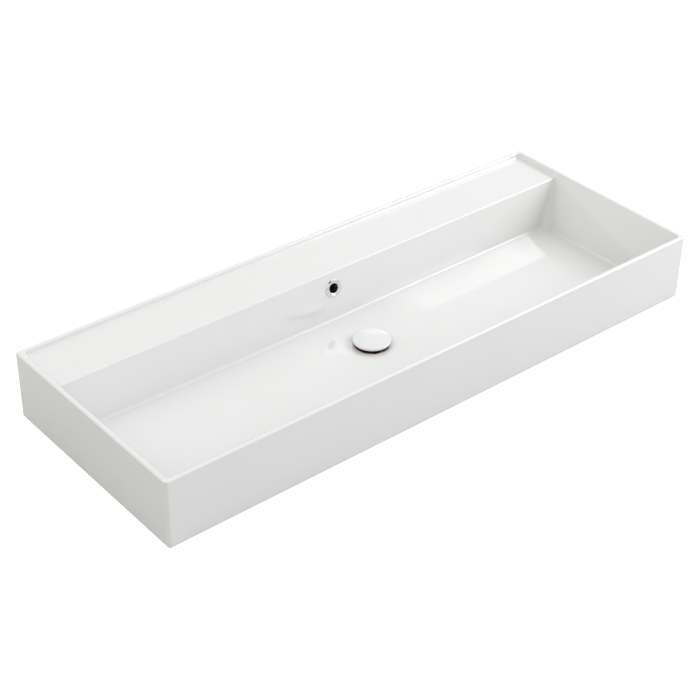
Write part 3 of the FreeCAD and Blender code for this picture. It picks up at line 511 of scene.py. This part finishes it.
def finish_mesh(name, built):
    """Turns the built faces into a smooth piece with sharp corners left sharp."""
    mesh = bpy.data.meshes.new(name)
    bmesh.ops.recalc_face_normals(built, faces=built.faces)
    for face in built.faces:
        face.smooth = True
    built.to_mesh(mesh)
    built.free()
    mesh.set_sharp_from_angle(angle=SHARP_ANGLE)
    piece = bpy.data.objects.new(name, mesh)
    bpy.context.collection.objects.link(piece)
    return piece


def lathe(name, outline, centre, steps):
    """A closed outline of (radius, height) points, turned about an upright axis."""
    built = bmesh.new()
    rings = []
    for radius, height in outline:
        spot = centre + Vector((0, 0, height))
        if radius < AXIS_ROOM:
            rings.append([built.verts.new(spot)] * steps)
        else:
            places = [spot + outwards(index, steps) * radius for index in range(steps)]
            rings.append([built.verts.new(place) for place in places])
    for index, ring in enumerate(rings):
        join_rings(built, ring, rings[(index + 1) % len(rings)])
    return finish_mesh(name, built)


def arc(x, z, radius, angles):
    """Points of an arc about (x, z), between two angles in degrees from straight out."""
    start, stop = angles
    points = []
    for index in range(EDGE_STEPS + 1):
        angle = math.radians(start + (stop - start) * index / EDGE_STEPS)
        points.append((x + radius * math.cos(angle), z + radius * math.sin(angle)))
    return points


# Pieces


def make_cap(materials):
    """The ceramic cap with its true round edges and dome."""
    low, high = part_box("plug_cap")
    outer = (high[0] - low[0]) / 2
    height = high[2] - low[2]
    shoulder = outer - CAP_UPPER_RADIUS
    outline = []
    for index in range(DOME_RINGS):
        radius = shoulder * index / (DOME_RINGS - 1)
        drop = CAP_DOME_RADIUS - math.sqrt(CAP_DOME_RADIUS**2 - radius**2)
        outline.append((radius, height - drop))
    outline += arc(shoulder, CAP_LOWER_RADIUS, CAP_UPPER_RADIUS, UPPER_EDGE_ANGLES)
    outline += arc(outer - CAP_LOWER_RADIUS, CAP_LOWER_RADIUS, CAP_LOWER_RADIUS, LOWER_EDGE_ANGLES)
    outline.append((CAP_RECESS_RADIUS, 0))
    outline.append((CAP_RECESS_RADIUS, CAP_RECESS_DEPTH))
    outline.append((0, CAP_RECESS_DEPTH))
    cap = lathe("cap_skin", outline, WASTE + Vector((0, 0, low[2])), CAP_STEPS)
    cap.data.materials.append(materials["cap_glaze"])
    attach(cap, "plug")
    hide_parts("plug_cap")


def make_thread(name, radius, span, pitch, depth, body, material):
    """A ridge of triangular section wound about the waste's axis; depth under zero points inwards."""
    low, high = span
    turns = (high - low - pitch) / pitch
    half = Vector((0, 0, pitch * RIDGE_HALF_SHARE))
    built = bmesh.new()
    rows = []
    for index in range(int(turns * THREAD_STEPS) + 1):
        level = low + pitch / 2 + index * pitch / THREAD_STEPS
        out = outwards(index, THREAD_STEPS)
        root = WASTE + out * (radius - depth / ROOT_SHARE) + Vector((0, 0, level))
        crest = WASTE + out * (radius + depth) + Vector((0, 0, level))
        rows.append([built.verts.new(spot) for spot in (root - half, crest, root + half)])
    join_in_line(built, rows)
    ridge = finish_mesh(name, built)
    ridge.data.materials.append(material)
    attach(ridge, body)


def make_threads(materials):
    """Threads that the plain cylinders of tail, nut, barrel and stud stand for."""
    nut_low, nut_high = levels("backnut")
    make_thread(
        "trap_thread",
        radius=TAIL_RADIUS,
        span=(levels("waste_body")[0] + TAIL_LEAD, nut_low - RELIEF_DROP),
        pitch=G_PITCH,
        depth=TRAP_THREAD_DEPTH,
        body="basin_and_waste",
        material=materials["waste_chrome"],
    )
    make_thread(
        "nut_thread",
        radius=TAIL_RADIUS + NUT_THREAD_ROOM,
        span=(nut_low, nut_high),
        pitch=G_PITCH,
        depth=-NUT_THREAD_ROOM,
        body="basin_and_waste",
        material=materials["nut_brass"],
    )
    make_thread(
        "barrel_thread",
        radius=BARREL_RADIUS,
        span=(levels("cartridge_housing")[0], levels("cartridge_nut")[0]),
        pitch=BARREL_PITCH,
        depth=BARREL_DEPTH,
        body="basin_and_waste",
        material=materials["housing_plastic"],
    )
    make_thread(
        "stud_thread",
        radius=STUD_RADIUS,
        span=levels("spindle"),
        pitch=STUD_PITCH,
        depth=STUD_DEPTH,
        body="plug",
        material=materials["stud_steel"],
    )


def wire_ring(built, index, foot, climb):
    """Corners round the wire, index steps along the coil."""
    out = outwards(index, COIL_STEPS)
    along = Vector((-out.y, out.x, 0)) * COIL_RADIUS * math.tau / COIL_STEPS
    along.z = climb
    across = along.cross(out).normalized()
    centre = WASTE + out * COIL_RADIUS + Vector((0, 0, foot + index * climb))
    ring = []
    for side in range(WIRE_SIDES):
        turn = side * math.tau / WIRE_SIDES
        edge = (out * math.cos(turn) + across * math.sin(turn)) * WIRE_RADIUS
        ring.append(built.verts.new(centre + edge))
    return ring


def make_spring(materials):
    """The coil in round wire, in place of the cartridge's spring."""
    low, high = levels("cartridge_spring")
    foot = low + WIRE_RADIUS
    steps = COIL_TURNS * COIL_STEPS
    climb = (high - WIRE_RADIUS - foot) / steps
    built = bmesh.new()
    join_in_line(built, [wire_ring(built, index, foot, climb) for index in range(steps + 1)])
    coil = finish_mesh("spring_coil", built)
    coil.data.materials.append(materials["spring_steel"])
    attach(coil, "basin_and_waste")
    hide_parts("cartridge_spring")
    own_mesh(coil)


def soften(node):
    """A small round along the sharp edges of a CAD node."""
    bevel = frame["nodes"][node].modifiers.new("soft_edges", "BEVEL")
    bevel.width = SOFT_WIDTH
    bevel.segments = SOFT_SEGMENTS
    bevel.limit_method = "ANGLE"
    bevel.angle_limit = SOFT_ANGLE
    bevel.harden_normals = True


def dress_nodes(materials):
    """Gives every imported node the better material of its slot."""
    for entry in frame["record"]["subparts"]:
        node = frame["nodes"][entry["node"]]
        material = materials[entry["material_slot"]]
        for slot in node.material_slots:
            slot.material = material


# Stage and light


def floor_paint():
    """Pale matt paint that glows for the camera alone, so that the ground shows white."""
    material, nodes = new_material("floor_paint")
    tone = nodes.two_tones(nodes.noise(3.0, 3.0, nodes.place()), (0.57, 0.57, 0.57), (0.59, 0.59, 0.59))
    matt = nodes.add("ShaderNodeBsdfDiffuse", {"Color": tone}).outputs[0]
    glow = nodes.add("ShaderNodeEmission", {"Color": (1, 1, 1, 1), "Strength": FLOOR_GLOW}).outputs[0]
    both = nodes.add("ShaderNodeAddShader", {0: matt, 1: glow}).outputs[0]
    path = nodes.add("ShaderNodeLightPath").outputs
    nodes.show(nodes.mix_shaders(path["Is Camera Ray"], matt, both))
    return material


def make_floor():
    """A pale floor at the base, with a round hole where the waste goes down."""
    built = bmesh.new()
    centre = Vector((WASTE.x, WASTE.y, BASE_LEVEL - FLOOR_GAP))
    rings = []
    for radius in (FLOOR_HOLE, FLOOR_REACH):
        places = [centre + outwards(index, FLOOR_STEPS) * radius for index in range(FLOOR_STEPS)]
        rings.append([built.verts.new(place) for place in places])
    inner, outer = rings
    join_rings(built, outer, inner)
    built.normal_update()
    mesh = bpy.data.meshes.new("floor")
    built.to_mesh(mesh)
    built.free()
    floor = bpy.data.objects.new("floor", mesh)
    bpy.context.collection.objects.link(floor)
    mesh.materials.append(floor_paint())


def make_world():
    """Soft light: strongest from above and the right, weakest from the wall, warmer from the left."""
    world = bpy.data.worlds.new("studio")
    world.use_nodes = True
    bpy.context.scene.world = world
    nodes = Nodes(world.node_tree)
    way = nodes.add("ShaderNodeTexCoord").outputs["Generated"]
    parts = nodes.apart(way)
    level = WORLD_LEVEL
    for axis, gain in WORLD_GAINS:
        one_side = nodes.math("MAXIMUM", nodes.math("MULTIPLY", parts[axis], gain), 0.0)
        level = nodes.math("ADD", one_side, level)
    path = nodes.add("ShaderNodeLightPath").outputs
    facing = nodes.add("ShaderNodeVectorMath", {0: way, 1: FLAG_WAY}, operation="DOT_PRODUCT")
    flag = nodes.rise(facing.outputs["Value"], *FLAG_EDGE)
    hidden = nodes.math("MULTIPLY", nodes.all_of(flag, path["Is Glossy Ray"]), FLAG_SHARE)
    level = nodes.math("MULTIPLY", level, nodes.math("SUBTRACT", 1.0, hidden))
    tint = nodes.ramp(nodes.math("MULTIPLY", parts["X"], -1.0), WORLD_TINT)
    soft = nodes.add("ShaderNodeBackground", {"Color": tint, "Strength": level}).outputs[0]
    plain = nodes.add("ShaderNodeBackground", {"Color": (1, 1, 1, 1), "Strength": 1.0}).outputs[0]
    nodes.show(nodes.mix_shaders(path["Is Camera Ray"], soft, plain), "ShaderNodeOutputWorld")


def make_lamp(name, place, target, side, power, colour):
    """A square lamp that points from its place to the target."""
    data = bpy.data.lights.new(name, "AREA")
    data.shape = "SQUARE"
    data.size = side
    data.energy = power
    data.color = colour
    lamp = bpy.data.objects.new(name, data)
    bpy.context.collection.objects.link(lamp)
    lamp.location = place
    way = Vector(target) - Vector(place)
    lamp.rotation_euler = way.to_track_quat("-Z", "Y").to_euler()


make_camera()
materials = make_materials()
dress_nodes(materials)
make_cap(materials)
make_threads(materials)
make_spring(materials)
for node in SOFT_NODES:
    soften(node)
make_floor()
make_world()
for lamp in LAMPS:
    make_lamp(*lamp)

scene = bpy.context.scene
scene.view_settings.view_transform = "Standard"
